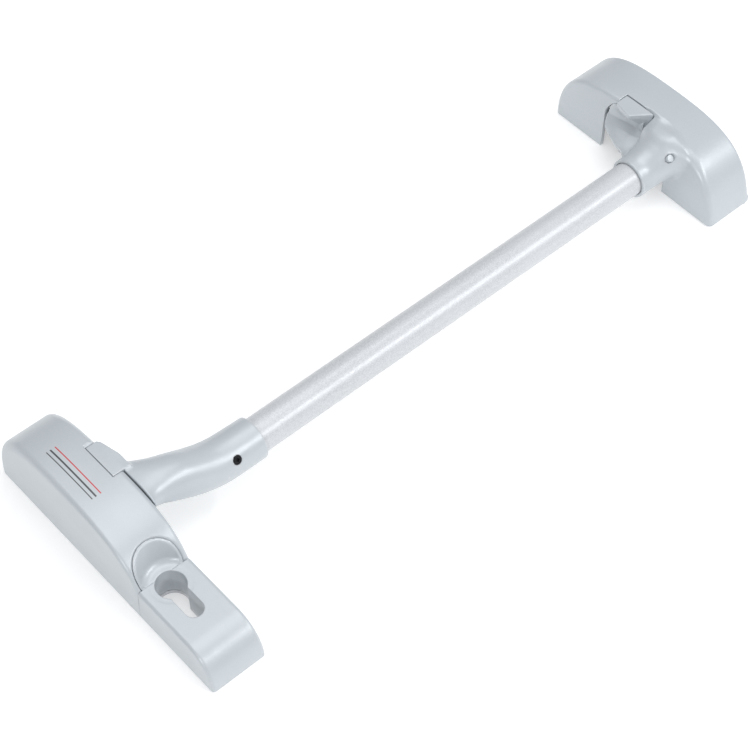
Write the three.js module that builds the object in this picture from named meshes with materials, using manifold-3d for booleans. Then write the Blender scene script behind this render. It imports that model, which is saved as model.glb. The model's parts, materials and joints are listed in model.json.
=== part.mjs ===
// Door security bar. A tube with a curved, clawed arm at its lock end and a bridge-shaped swing head at
// its other end. The head turns on a pin along its rear foot, so the whole bar swings up off the door.
// The arm's claw drops into the top of the lock housing, where a sliding blade holds its tail.
// Millimetres, +Z away from the door, +X from the lock housing to the swing head, origin under the middle.
import * as THREE from "three";
import { ParametricGeometry } from "three/addons/geometries/ParametricGeometry.js";
import { mergeVertices } from "three/addons/utils/BufferGeometryUtils.js";
import Module from "manifold-3d";

const wasm = await Module();
wasm.setup();

// ---- driving dimensions ----
const GAP = 0.3; // clearance between neighbouring pieces
const FAR = 400; // longer than any piece: used for cutting tools
const PAST = 1; // how far a shorter cutting tool reaches past the face it opens
const BAR_HALF = 237; // half of the overall length
const HOUSING_WIDTH = 36;
const LOCK_HALF = 96.5; // half of the lock housing's length
const ARCH_HALF = 68.25; // half of the length of the arched castings
const ARCH_TOP = 47.4;
const WALL = 3;
const EDGE_ROUND = 3;
const BLOCK_EDGE_ROUND = 2;
const DRAFT = 0.8; // how far each long wall leans in from its foot to the crest

const LOCK_OUT = -BAR_HALF; // long wall away from the tube
const LOCK_IN = LOCK_OUT + HOUSING_WIDTH; // long wall facing the tube
const HEAD_OUT = BAR_HALF;
const HEAD_IN = HEAD_OUT - HOUSING_WIDTH;
const COVER_Y = LOCK_HALF - ARCH_HALF; // middle of the lock cover
const HEAD_Y = 24; // middle of the swing head

const TUBE_R = 11;
const TUBE_WALL = 2;
const TUBE_Y = 5.6;
const TUBE_Z = 22.5;
const SOCKET_R = 13.3;
const BORE_R = TUBE_R + GAP;
const ARM_MOUTH = -124.5;
const ARM_BORE_END = -158;
const HEAD_MOUTH = 176.5;
const HEAD_BORE_END = 202.5;
const GRUB_X = -144.6;
const GRUB_TILT = 54.5; // degrees from the vertical towards -Y
const GRUB_R = 2.7;
const GRUB_TOP = 13.5; // its outer end, measured from the tube's axis
const GRUB_SOCKET_R = 1.3;
const CROSS_PIN_X = 196.7;
const CROSS_PIN_TILT = 42;
const CROSS_PIN_R = 2.4;
const CROSS_PIN_TOP = 22.1; // its domed end, measured from the tube's axis

const BLOCK_END = -33.8; // the cylinder block meets the cover here
const BLOCK_TOP = 23;
const BLOCK_NOSE = 21; // length of the rounded end of the block
const KEY_X = -219.6;
const KEY_Y = -40.7;
const KEY_R = 8.8;
const KEY_SLOT = 5.5; // half width of the flat part of the cylinder hole
const KEY_TOTAL = 34;
const DISH_R = 16; // the dish round the cylinder hole, at the level of the block's top
const DISH_FLARE = 0.38; // how much wider the dish gets per millimetre of height
const DISH_RIM = 1.3; // thickness of the block's thin wall round the dish
const DISH_ROOT = 10; // how far that wall reaches down below the block's top
const DISH_FLOOR_R = 12.2;

const COVER_SCREW_TIP = 16;
const BLOCK_SCREW_TIP = 13;

const ARM_CLAW_Y = [20.8, 46.1];
const ARM_CLAW_IN = -208.8;
const NOTCH_FLOOR = 16; // the cover's notch for the claw reaches down to here
const CLAW_OUTLINE = [
  [ARM_CLAW_IN, ARM_CLAW_Y[0]],
  [ARM_CLAW_IN, ARM_CLAW_Y[1]],
  [-201.5, ARM_CLAW_Y[1]],
  [-199.8, 43.8],
  [-196.9, 31],
  [-196.9, ARM_CLAW_Y[0]],
];
const CLAW_Z = [39, 46.6];
const TAIL_OUT = -205.6; // the claw's tail hangs just inside the cover's wall
const TAIL_INSET = 2; // the tail is this much narrower than the claw on each side
const TAIL_SLOT_END = 38; // the blade enters the tail's slot from its other side
const TONGUE_Y = [18.7, 41.9];
const TONGUE_IN = 209.8;

const PLATE = 3;
const PIN_X = 233.5;
const PIN_Z = 3.5;
const PIN_R = 1.6;
const KNUCKLE_R = 3.5;
const HEAD_RIM = 0.4; // height of the head's rim above the door
const PIN_Y = [-28, 76];
const BASE_KNUCKLES = [[-10, 8], [40, 58]];
const KNUCKLE_ROOM = 6; // the head is cut back this far behind the pin beside each knuckle

const TAIL_FOOT = 9; // height of the claw tail's lower end
const BLADE_Z = [16, 21];
const BLADE_X = [-222, -205.6];
const BLADE_Y = [-28, 16];

// ---- materials ----
const paint = (color, roughness = 0.42, metalness = 0.15) =>
  new THREE.MeshStandardMaterial({ color, roughness, metalness });
const CASTING = () => paint(0xc3cbd2);
const SILVER = () => paint(0xd3d6dc, 0.34, 0.55);
const STEEL = () => paint(0x9a9ea3, 0.4, 0.9);
const BLACK = () => paint(0x1d1e20, 0.5, 0.6);
const RUBBER = () => paint(0x3a3c3f, 0.85, 0);

// ---- solids ----
function solid(geometry) {
  const bare = geometry.clone();
  bare.deleteAttribute("normal");
  bare.deleteAttribute("uv");
  const merged = mergeVertices(bare, 1e-4);
  return new wasm.Manifold(
    new wasm.Mesh({
      numProp: 3,
      vertProperties: new Float32Array(merged.attributes.position.array),
      triVerts: new Uint32Array(merged.index.array),
    }),
  );
}

function box(x, y, z) {
  const geometry = new THREE.BoxGeometry(x[1] - x[0], y[1] - y[0], z[1] - z[0]);
  geometry.translate((x[0] + x[1]) / 2, (y[0] + y[1]) / 2, (z[0] + z[1]) / 2);
  return solid(geometry);
}

function rodX(r, x, y, z, sides = 32) {
  const geometry = new THREE.CylinderGeometry(r, r, x[1] - x[0], sides);
  geometry.rotateZ(Math.PI / 2);
  geometry.translate((x[0] + x[1]) / 2, y, z);
  return solid(geometry);
}

function rodY(r, x, y, z, sides = 24) {
  const geometry = new THREE.CylinderGeometry(r, r, y[1] - y[0], sides);
  geometry.translate(x, (y[0] + y[1]) / 2, z);
  return solid(geometry);
}

function rodZ(r, x, y, z, sides = 32) {
  const geometry = new THREE.CylinderGeometry(r, r, z[1] - z[0], sides);
  geometry.rotateX(Math.PI / 2);
  geometry.translate(x, y, (z[0] + z[1]) / 2);
  return solid(geometry);
}

// A shape drawn in Y and Z, carried along X. A bevel rounds its rim without making it wider or longer.
function prismX(shape, x, bevel = 0) {
  const geometry = new THREE.ExtrudeGeometry(shape, {
    depth: x[1] - x[0] - 2 * bevel,
    curveSegments: 10,
    bevelEnabled: bevel > 0,
    bevelThickness: bevel,
    bevelSize: bevel,
    bevelOffset: -bevel,
    bevelSegments: 3,
  });
  geometry.applyMatrix4(
    new THREE.Matrix4().makeBasis(
      new THREE.Vector3(0, 1, 0),
      new THREE.Vector3(0, 0, 1),
      new THREE.Vector3(1, 0, 0),
    ),
  );
  geometry.translate(x[0] + bevel, 0, 0);
  return solid(geometry);
}

// A shape drawn in X and Z, carried along Y.
function prismY(shape, y) {
  const geometry = new THREE.ExtrudeGeometry(shape, {
    depth: y[1] - y[0],
    curveSegments: 10,
    bevelEnabled: false,
  });
  geometry.applyMatrix4(
    new THREE.Matrix4().makeBasis(
      new THREE.Vector3(1, 0, 0),
      new THREE.Vector3(0, 0, 1),
      new THREE.Vector3(0, -1, 0),
    ),
  );
  geometry.translate(0, y[1], 0);
  return solid(geometry);
}

// A shape drawn in X and Y, carried along Z.
function prismZ(shape, z) {
  const geometry = new THREE.ExtrudeGeometry(shape, {
    depth: z[1] - z[0],
    curveSegments: 12,
    bevelEnabled: false,
  });
  geometry.translate(0, 0, z[0]);
  return solid(geometry);
}

function polygon(points) {
  return new THREE.Shape(points.map(([a, b]) => new THREE.Vector2(a, b)));
}

// A profile of radius and height turned about a vertical line.
function turnedZ(profile, x, y, sides = 40) {
  const geometry = new THREE.LatheGeometry(
    profile.map(([r, z]) => new THREE.Vector2(r, z)),
    sides,
  );
  geometry.rotateX(Math.PI / 2);
  geometry.translate(x, y, 0);
  return solid(geometry);
}

// A closed skin over upright cross-sections along X. Each section is half an ellipse above its widest
// level and half an ellipse below it. A row is [x, -Y side, +Y side, widest level, top, bottom].
function loft(rows, steps = 20, sides = 32) {
  const curve = (pick) => new THREE.CatmullRomCurve3(rows.map(pick), false, "catmullrom", 0.5);
  const plan = curve(([x, left, right]) => new THREE.Vector3(x, left, right));
  const side = curve(([, , , level, top, bottom]) => new THREE.Vector3(level, top, bottom));
  const stacks = steps + 2;
  const skin = new ParametricGeometry(
    (u, v, target) => {
      const row = v * stacks - 1;
      const t = THREE.MathUtils.clamp(row / steps, 0, 1);
      const { x, y: left, z: right } = plan.getPoint(t);
      const { x: level, y: top, z: bottom } = side.getPoint(t);
      const size = row < -0.5 || row > steps + 0.5 ? 0 : 1;
      const angle = 2 * Math.PI * u;
      const up = Math.sin(angle);
      const height = up > 0 ? top - level : level - bottom;
      const across = ((right - left) / 2) * Math.cos(angle);
      target.set(x, (left + right) / 2 + size * across, level + size * height * up);
    },
    sides,
    stacks,
  );
  return solid(skin);
}

// ---- the arched casting that both ends share ----
// Seen from the side, its rear end is square-shouldered and its front end is a long round slope.
function archShape(middle, inset) {
  const half = ARCH_HALF - inset;
  const top = ARCH_TOP - inset;
  const foot = -2 * EDGE_ROUND;
  const shape = new THREE.Shape();
  shape.moveTo(middle - half, foot);
  shape.lineTo(middle - half, 0);
  shape.bezierCurveTo(middle - half + 5.6, top * 0.91, middle - half * 0.52, top, middle, top);
  shape.bezierCurveTo(middle + half * 0.5, top, middle + half + 4.5, top * 0.99, middle + half, 0);
  shape.lineTo(middle + half, foot);
  return shape;
}

function draftWedge(x, y) {
  const top = ARCH_TOP + PAST;
  const lean = (DRAFT * top) / ARCH_TOP;
  return prismY(
    polygon([
      [x[0], 0],
      [x[1], 0],
      [x[1] - lean, top],
      [x[0] + lean, top],
    ]),
    y,
  );
}

function archBody(x, middle) {
  const outer = prismX(archShape(middle, 0), x, EDGE_ROUND);
  return outer.intersect(draftWedge(x, [-FAR, FAR]));
}

function archCavity(x, middle) {
  const inner = [x[0] + WALL, x[1] - WALL];
  const cavity = prismX(archShape(middle, WALL), inner, EDGE_ROUND);
  return cavity
    .intersect(draftWedge(inner, [-FAR, FAR]))
    .add(box(inner, [middle - ARCH_HALF + 3 * WALL, middle + ARCH_HALF - 3 * WALL], [-PAST, PAST]));
}

// ---- lock end: cover, cylinder block, plate ----
// The upright cone whose wall the cover and the block share, from the dish's root up past the crest.
function dishCone(grow) {
  const root = BLOCK_TOP - DISH_ROOT;
  const above = ARCH_TOP + PAST;
  const radius = (z) => DISH_R + DISH_FLARE * (z - BLOCK_TOP) + grow;
  return turnedZ(
    [
      [0, root],
      [radius(root), root],
      [radius(above), above],
      [0, above],
    ],
    KEY_X,
    KEY_Y,
    48,
  );
}

function keyholeShape(grow) {
  const r = KEY_R + grow;
  const slot = KEY_SLOT + grow;
  const slotEnd = KEY_Y + KEY_R - KEY_TOTAL + KEY_SLOT;
  const meet = Math.asin(slot / r);
  const shape = new THREE.Shape();
  shape.absarc(KEY_X, KEY_Y, r, -Math.PI / 2 + meet, (3 * Math.PI) / 2 - meet, false);
  shape.absarc(KEY_X, slotEnd, slot, Math.PI, 2 * Math.PI, false);
  return shape;
}

function lockCover() {
  const x = [LOCK_OUT, LOCK_IN];
  const frontFace = BLOCK_END + GAP;
  const notch = box(
    [ARM_CLAW_IN - GAP, LOCK_IN + PAST],
    [ARM_CLAW_Y[0] - GAP, ARM_CLAW_Y[1] + GAP],
    [NOTCH_FLOOR, ARCH_TOP + PAST],
  );
  const body = archBody(x, COVER_Y);
  let cover = body
    .subtract(archCavity(x, COVER_Y))
    .subtract(box([-FAR, FAR], [-FAR, frontFace], [-FAR, FAR]))
    .subtract(dishCone(GAP))
    .subtract(notch);
  for (const [screwX, screwY] of COVER_SCREWS) {
    cover = cover
      .add(rodZ(BOSS_R, screwX, screwY, [PLATE + GAP, ARCH_TOP - 2], 24).intersect(body))
      .subtract(rodZ(SCREW_R + GAP, screwX, screwY, [0, COVER_SCREW_TIP + PAST], 20));
  }
  return cover;
}

// A quarter ellipse rounds the nose of the block down to the door.
function blockShape() {
  const shape = new THREE.Shape();
  const foot = -2 * EDGE_ROUND;
  const untrimmed = BLOCK_END + 2 * BLOCK_EDGE_ROUND;
  shape.moveTo(untrimmed, foot);
  shape.lineTo(untrimmed, BLOCK_TOP);
  shape.lineTo(-LOCK_HALF + BLOCK_NOSE, BLOCK_TOP);
  shape.absellipse(-LOCK_HALF + BLOCK_NOSE, 0, BLOCK_NOSE, BLOCK_TOP, Math.PI / 2, Math.PI, false, 0);
  shape.lineTo(-LOCK_HALF, foot);
  return shape;
}

// The block's top rises in a cove round the cylinder hole, and its rim fits the cone cut in the cover.
// A collar carries the hole's wall on down where it runs past the end of the block.
function cylinderBlock() {
  const x = [LOCK_OUT, LOCK_IN];
  const body = prismX(blockShape(), x, BLOCK_EDGE_ROUND)
    .intersect(box([-FAR, FAR], [-FAR, BLOCK_END], [0, FAR]))
    .intersect(draftWedge(x, [-FAR, FAR]));
  const dish = dishCone(0)
    .intersect(archBody(x, COVER_Y))
    .intersect(box([-FAR, FAR], [BLOCK_END - PAST, FAR], [-FAR, FAR]));
  const rim = DISH_R - DISH_RIM;
  const coveTop = ARCH_TOP + 5;
  const cove = turnedZ(
    [
      [0, BLOCK_TOP],
      [DISH_FLOOR_R, BLOCK_TOP],
      [DISH_FLOOR_R + 1.6, BLOCK_TOP + 0.6],
      [rim + 0.2, BLOCK_TOP + 1.9],
      [rim + 4 * DISH_FLARE, BLOCK_TOP + 4],
      [rim + (coveTop - BLOCK_TOP) * DISH_FLARE, coveTop],
      [0, coveTop],
    ],
    KEY_X,
    KEY_Y,
    48,
  );
  const plateSeat = box(
    [LOCK_OUT + WALL, LOCK_IN - WALL],
    [-LOCK_HALF + WALL, FAR],
    [-PAST, PLATE + GAP],
  );
  const slideRoom = box([-FAR, FAR], [BLADE_Y[0] - 4 * GAP, FAR], [-FAR, BLADE_Z[1] + 2 * GAP]);
  const collar = rodZ(KEY_R + WALL, KEY_X, KEY_Y, [PLATE + GAP, BLOCK_TOP]);
  let block = body
    .add(dish)
    .add(collar)
    .subtract(slideRoom)
    .subtract(cove)
    .subtract(plateSeat)
    .subtract(prismZ(keyholeShape(0), [-PAST, FAR]));
  for (const [screwX, screwY] of BLOCK_SCREWS) {
    block = block.subtract(rodZ(SMALL_SCREW_R + GAP, screwX, screwY, [0, BLOCK_SCREW_TIP + PAST], 20));
  }
  return block;
}

const LOCK_PLATE_X = [LOCK_OUT + WALL + 1, LOCK_IN - WALL - 1];
const LOCK_PLATE_Y = [-LOCK_HALF + WALL + GAP, LOCK_HALF - 2 * WALL];
const LOCK_FIXINGS = [
  [-219, -84],
  [-212, 58],
  [-226, 60],
  [-219, 84],
];
const COVER_SCREWS = [
  [-222, 46],
  [-219, 73],
];
const BLOCK_SCREWS = [
  [-229, -56],
  [-209, -56],
];
const PLATE_HOLE_GROW = 0.2; // the plate's cylinder hole is this much larger than the block's
const PLATE_NOTCH = [
  [KEY_X - 8.5, KEY_X - 5.5],
  [KEY_Y + 4, KEY_Y + 8],
];
const HEAD_SINK = 0.2; // screws put in from below have their heads this far inside the plate
const BOSS_R = 4.5;
const SCREW_R = 2; // fixing screws; the heads are twice as wide as the shanks
const SMALL_SCREW_R = 1.5;

// Countersunk screw: a flat head at headZ, with its point at tipZ above or below it.
function countersunk(x, y, headZ, tipZ, r = SCREW_R) {
  const way = Math.sign(headZ - tipZ);
  const profile = [
    [0, tipZ],
    [r, tipZ],
    [r, headZ - way * r],
    [2 * r, headZ],
    [0, headZ],
  ];
  return turnedZ(way > 0 ? profile : profile.reverse(), x, y, 20);
}

// The hole that such a screw sits in, open past the head and, for a through hole, past the tip.
function screwHole(x, y, headZ, tipZ, r = SCREW_R) {
  const way = Math.sign(headZ - tipZ);
  const profile = [
    [0, tipZ],
    [r + GAP, tipZ],
    [r + GAP, headZ - way * (r + GAP)],
    [2 * r + GAP, headZ],
    [2 * r + GAP, headZ + way],
    [0, headZ + way],
  ];
  return turnedZ(way > 0 ? profile : profile.reverse(), x, y, 20);
}

function lockPlate() {
  const through = [-PAST, PLATE + PAST];
  let plate = box(LOCK_PLATE_X, LOCK_PLATE_Y, [0, PLATE])
    .subtract(prismZ(keyholeShape(PLATE_HOLE_GROW), through))
    .subtract(box(...PLATE_NOTCH, through));
  for (const [x, y] of LOCK_FIXINGS) plate = plate.subtract(screwHole(x, y, PLATE, -PAST));
  for (const [x, y] of COVER_SCREWS) plate = plate.subtract(screwHole(x, y, HEAD_SINK, PLATE + PAST));
  for (const [x, y] of BLOCK_SCREWS) {
    plate = plate.subtract(screwHole(x, y, HEAD_SINK, PLATE + PAST, SMALL_SCREW_R));
  }
  return plate;
}

// ---- lock mechanism: blade, channel, strap, detent ----
const CHANNEL_X = [-232, -209.5];
const CHANNEL_Y = [-22, 12];
const DETENT_Y = 5.5;
const DETENT_Z = (BLADE_Z[0] + BLADE_Z[1]) / 2;
const SPRING_HALF = 5; // half of the leaf spring's length
const SPRING_ROOM = 4.4;
const SPRING_THICK = 0.25; // half of its thickness
const SPRING_WIDE = 1.9; // half of its width
// The spring's centre line: how far along Y from its middle, and how far from the blade's edge.
const SPRING_LINE = [
  [-SPRING_HALF, -3.2],
  [-3.2, -2.4],
  [-1.7, -0.9],
  [0, 0.6],
  [1.7, -0.9],
  [3.2, -2.4],
  [SPRING_HALF, -3.2],
];
const SLIDE_TRAVEL = 14;
const SLIDE_NECK_X = [BLADE_X[0], -211]; // the narrow end that the lock cylinder's cam pushes
const SLIDE_NECK_END = -9;
const CAM_MOUTH_X = [-219, -214];
const CAM_MOUTH_DEPTH = 7;
const DETENT_R = 2;
const DETENT_OUT = 0.7; // the notches' centres stand this far outside the blade's edge

function slideBlade() {
  const through = [BLADE_Z[0] - PAST, BLADE_Z[1] + PAST];
  const blade = box(BLADE_X, [SLIDE_NECK_END - PAST, BLADE_Y[1]], BLADE_Z);
  const neck = box(SLIDE_NECK_X, [BLADE_Y[0], SLIDE_NECK_END], BLADE_Z);
  const camMouth = box(CAM_MOUTH_X, [BLADE_Y[0] - PAST, BLADE_Y[0] + CAM_MOUTH_DEPTH], through);
  const notches = [0, -SLIDE_TRAVEL].map((shift) =>
    rodZ(DETENT_R, BLADE_X[0] - DETENT_OUT, DETENT_Y + shift, through, 16),
  );
  return notches.reduce((made, cut) => made.subtract(cut), blade.add(neck).subtract(camMouth));
}

function slideChannel() {
  const floor = box(CHANNEL_X, CHANNEL_Y, [PLATE + GAP, BLADE_Z[0] - GAP]);
  const cheek = box([CHANNEL_X[0], BLADE_X[0] - GAP], CHANNEL_Y, [PLATE + GAP, BLADE_Z[1] + GAP]);
  const springRoom = box(
    [BLADE_X[0] - SPRING_ROOM, BLADE_X[0] + PAST],
    [DETENT_Y - SPRING_HALF - PAST, DETENT_Y + SPRING_HALF + PAST],
    [BLADE_Z[0] - GAP, BLADE_Z[1] + PAST],
  );
  return STRAP_SCREWS.reduce(
    (made, [x, y]) => made.subtract(rodZ(SMALL_SCREW_R + GAP, x, y, [STRAP_SCREW_TIP - PAST, FAR], 20)),
    floor.add(cheek).subtract(springRoom),
  );
}

const STRAP_Z = [BLADE_Z[1] + 2 * GAP, BLADE_Z[1] + 2 * GAP + 2];
const STRAP_Y = [CHANNEL_Y[0] + 6, CHANNEL_Y[1] - 2];
const STRAP_SCREW_TIP = STRAP_Z[0] - 8;
const STRAP_SCREWS = [
  [-228, -13],
  [-228, -4],
];

function slideStrap() {
  const strap = box(CHANNEL_X, STRAP_Y, STRAP_Z);
  return STRAP_SCREWS.reduce(
    (made, [x, y]) => made.subtract(rodZ(SMALL_SCREW_R + GAP, x, y, [0, FAR], 20)),
    strap,
  );
}

// Pan-head screw that holds the strap down on the channel's cheek.
function strapScrew(x, y) {
  const seat = STRAP_Z[1] + GAP;
  const headHeight = 2;
  const rimHeight = 1.2;
  return turnedZ(
    [
      [0, STRAP_SCREW_TIP],
      [SMALL_SCREW_R, STRAP_SCREW_TIP],
      [SMALL_SCREW_R, seat],
      [2 * SMALL_SCREW_R, seat],
      [2 * SMALL_SCREW_R, seat + rimHeight],
      [SMALL_SCREW_R, seat + headHeight],
      [0, seat + headHeight],
    ],
    x,
    y,
    20,
  );
}

const BUFFER_X = [-212, -206];
const BUFFER_Y = [24, 42];

// Rubber block that the claw's tail comes down to.
function tailBuffer() {
  return box(BUFFER_X, BUFFER_Y, [PLATE + GAP, TAIL_FOOT - GAP]);
}

// Leaf spring: its bump drops into either notch of the blade, and its two ends bear on the channel.
function detentSpring() {
  const line = SPRING_LINE.map(([y, x]) => new THREE.Vector3(BLADE_X[0] + x, DETENT_Y + y, DETENT_Z));
  const strip = polygon([
    [-SPRING_WIDE, -SPRING_THICK],
    [SPRING_WIDE, -SPRING_THICK],
    [SPRING_WIDE, SPRING_THICK],
    [-SPRING_WIDE, SPRING_THICK],
  ]);
  return solid(
    new THREE.ExtrudeGeometry(strip, {
      steps: 24,
      bevelEnabled: false,
      extrudePath: new THREE.CatmullRomCurve3(line),
    }),
  );
}

// ---- bar: arm, tube, core ----
const ARM_ROWS = [
  [LOCK_IN - 0.3, -6.4, 33, 42.8, 46.3, 34],
  [-193, -7, 28, 39.6, 46.3, 28.6],
  [-185, -7.3, 25, 35.6, 45.9, 22.6],
  [-175, -7.5, 23, 31, 44.2, 16.6],
  [-165, -7.7, 21.6, 26.8, 40.8, 12.6],
  [-155, -7.8, 20.4, 23.7, 37.6, 10.1],
  [-145, -7.8, 19.6, 22.7, 36.3, 9.3],
  [ARM_MOUTH, TUBE_Y - SOCKET_R, TUBE_Y + SOCKET_R, TUBE_Z, TUBE_Z + SOCKET_R, TUBE_Z - SOCKET_R],
];

function lockArm() {
  const body = loft(ARM_ROWS, 24, 36);
  const bore = rodX(BORE_R, [ARM_BORE_END, ARM_MOUTH + PAST], TUBE_Y, TUBE_Z, 32);
  const claw = prismZ(polygon(CLAW_OUTLINE), CLAW_Z);
  const tailY = [ARM_CLAW_Y[0] + TAIL_INSET, ARM_CLAW_Y[1] - TAIL_INSET];
  const slot = box([-FAR, FAR], [-FAR, TAIL_SLOT_END], [BLADE_Z[0] - GAP, BLADE_Z[1] + GAP]);
  const tail = box([ARM_CLAW_IN, TAIL_OUT], tailY, [TAIL_FOOT, CLAW_Z[0] + PAST]).subtract(slot);
  return body
    .add(claw)
    .add(tail)
    .subtract(bore)
    .subtract(radialRod(GRUB_X, GRUB_TILT, GRUB_R + GAP, 0, 2 * SOCKET_R));
}

// A rod that points at the tube's axis, leaning from the vertical towards -Y, between two distances from it.
function radialRod(x, tilt, radius, from, to, sides = 20) {
  const geometry = new THREE.CylinderGeometry(radius, radius, to - from, sides);
  geometry.translate(0, (from + to) / 2, 0);
  geometry.rotateX(Math.PI / 2 + THREE.MathUtils.degToRad(tilt));
  geometry.translate(x, TUBE_Y, TUBE_Z);
  return solid(geometry);
}

function armGrubScrew() {
  const seat = TUBE_R + GAP;
  const screw = radialRod(GRUB_X, GRUB_TILT, GRUB_R, seat, GRUB_TOP);
  return screw.subtract(radialRod(GRUB_X, GRUB_TILT, GRUB_SOCKET_R, seat + 0.8, GRUB_TOP + PAST, 6));
}

const TUBE_X = [ARM_BORE_END + 1, HEAD_BORE_END - 1];
const CORE_R = 6.5; // hardened bar inside the tube
const PLUG_LENGTH = 5;
const PLUG_X = [TUBE_X[0] + 0.5, TUBE_X[1] - 0.5 - PLUG_LENGTH];
const CORE_X = [TUBE_X[0] + PLUG_LENGTH + 1, TUBE_X[1] - PLUG_LENGTH - 1];

function tube() {
  return rodX(TUBE_R, TUBE_X, TUBE_Y, TUBE_Z, 40).subtract(
    rodX(TUBE_R - TUBE_WALL, [TUBE_X[0] - PAST, TUBE_X[1] + PAST], TUBE_Y, TUBE_Z, 40),
  );
}

// ---- swing head ----
// Side view of the opening in the head's front wall, which runs up into the notch that the tongue fills.
const OPENING = [
  [TONGUE_Y[0] - GAP, -PAST],
  [51.4, -PAST],
  [51.4, 29],
  [49.8, 35.2],
  [47.7, 39.8],
  [TONGUE_Y[1] + GAP, 45],
  [TONGUE_Y[1] + GAP, ARCH_TOP + PAST],
  [TONGUE_Y[0] - GAP, ARCH_TOP + PAST],
];
const LOW_OPENING_Y = [-2.4, TONGUE_Y[0]]; // the opening's low part, under the neck
const LOW_OPENING_TOP = 9;

function headOpening() {
  const x = [HEAD_IN - PAST, TONGUE_IN + GAP];
  return prismX(polygon(OPENING), x).add(box(x, LOW_OPENING_Y, [-PAST, LOW_OPENING_TOP]));
}

const NECK_ROWS = [
  [HEAD_MOUTH, TUBE_Y - SOCKET_R, TUBE_Y + SOCKET_R, TUBE_Z, TUBE_Z + SOCKET_R, TUBE_Z - SOCKET_R],
  [183, -7.8, 18.7, 22.8, 36.4, 9.3],
  [189, -9, 18.4, 25, 39, 10.5],
  [195, -11.5, 18.4, 28.5, 42.6, 13],
  [200, -14.5, 18.4, 32, 44.6, 16],
  [HEAD_IN + WALL + 0.5, -17.5, 18.4, 35, 45.2, 19],
];

function swingHead() {
  const x = [HEAD_IN, HEAD_OUT];
  const neck = loft(NECK_ROWS, 12, 36);
  const bore = rodX(BORE_R, [HEAD_MOUTH - PAST, HEAD_BORE_END], TUBE_Y, TUBE_Z, 32);
  const roundFoot = rodY(KNUCKLE_R, PIN_X, [-FAR, FAR], PIN_Z).intersect(archBody(x, HEAD_Y));
  const footCut = box([PIN_X, FAR], [-FAR, FAR], [-FAR, PIN_Z]).add(
    box([-FAR, FAR], [-FAR, FAR], [-FAR, HEAD_RIM]),
  );
  const knuckleCuts = BASE_KNUCKLES.map(([a, b]) =>
    box([PIN_X - KNUCKLE_ROOM, FAR], [a - GAP, b + GAP], [-PAST, PIN_Z + KNUCKLE_R + GAP]),
  );
  let head = archBody(x, HEAD_Y)
    .subtract(archCavity(x, HEAD_Y))
    .subtract(headOpening())
    .add(neck)
    .subtract(footCut)
    .add(roundFoot)
    .subtract(bore)
    .subtract(radialRod(CROSS_PIN_X, CROSS_PIN_TILT, CROSS_PIN_R + GAP, 0, 40))
    .subtract(rodY(PIN_R + GAP, PIN_X, [PIN_Y[0] - GAP, PIN_Y[1] + GAP], PIN_Z, 20));
  for (const cut of knuckleCuts) head = head.subtract(cut);
  return head;
}

function headCrossPin() {
  return radialRod(CROSS_PIN_X, CROSS_PIN_TILT, CROSS_PIN_R, TUBE_R + GAP, CROSS_PIN_TOP);
}

// ---- swing head's base ----
const HEAD_FEET = [[-36, -6], [20, 40], [62, 84]];
const HEAD_FIXINGS = [
  [216, -28],
  [216, -14],
  [216, 70],
  [216, 79],
];
const TONGUE_FIXINGS = [
  [214, 25],
  [214, 35],
];

const HEAD_STRIP_X = [221, 228]; // the strip that joins the base's three feet
const HEAD_FOOT_X = [206, HEAD_STRIP_X[0] + PAST];

function headPlate() {
  let plate = box(HEAD_STRIP_X, [HEAD_FEET[0][0], HEAD_FEET[2][1]], [0, PLATE]);
  for (const foot of HEAD_FEET) plate = plate.add(box(HEAD_FOOT_X, foot, [0, PLATE]));
  for (const knuckle of BASE_KNUCKLES) {
    plate = plate.add(box([HEAD_STRIP_X[1] - PAST, PIN_X], knuckle, [0, PLATE]));
    plate = plate.add(rodY(KNUCKLE_R, PIN_X, knuckle, PIN_Z));
  }
  for (const [x, y] of HEAD_FIXINGS) plate = plate.subtract(screwHole(x, y, PLATE, -PAST));
  for (const [x, y] of TONGUE_FIXINGS) {
    plate = plate.subtract(rodZ(SCREW_R + GAP, x, y, [-PAST, PLATE + PAST], 20));
  }
  return plate.subtract(rodY(PIN_R + GAP, PIN_X, [-FAR, FAR], PIN_Z, 20));
}

// Side views of the tongue's web, which swells out under its cap into a lip beneath the neck.
const WEB_XZ = [
  [HEAD_IN + 1, 44.6],
  [HEAD_IN - 3.5, 44.4],
  [HEAD_IN - 4, 42],
  [HEAD_IN + 4, 36],
  [HEAD_IN + 4, 31.5],
  [HEAD_IN - 1, 28],
  [HEAD_IN - 12, 24.5],
  [HEAD_IN - 12.5, 22],
  [HEAD_IN - 10, 20.5],
  [HEAD_IN - 1, 22],
  [TONGUE_IN - 0.4, 27],
  [TONGUE_IN - 0.4, 44.6],
];
const WEB_YZ = [
  [TONGUE_Y[0], 18],
  [TONGUE_Y[0] + 6, 18],
  [38, 21],
  [45, 25],
  [48, 30],
  [47.6, 37.5],
  [TONGUE_Y[1], 44.8],
  [TONGUE_Y[0], 44.8],
];
const TONGUE_CAP_FOOT = 39;
const TONGUE_POST_X = [204.5, TONGUE_IN - 0.4];
const TONGUE_POST_Y = [22, 38];
const TONGUE_FOOT_X = [TONGUE_POST_X[0], 219];
const TONGUE_FOOT_Z = [PLATE + GAP, 2 * PLATE + GAP];

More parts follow.
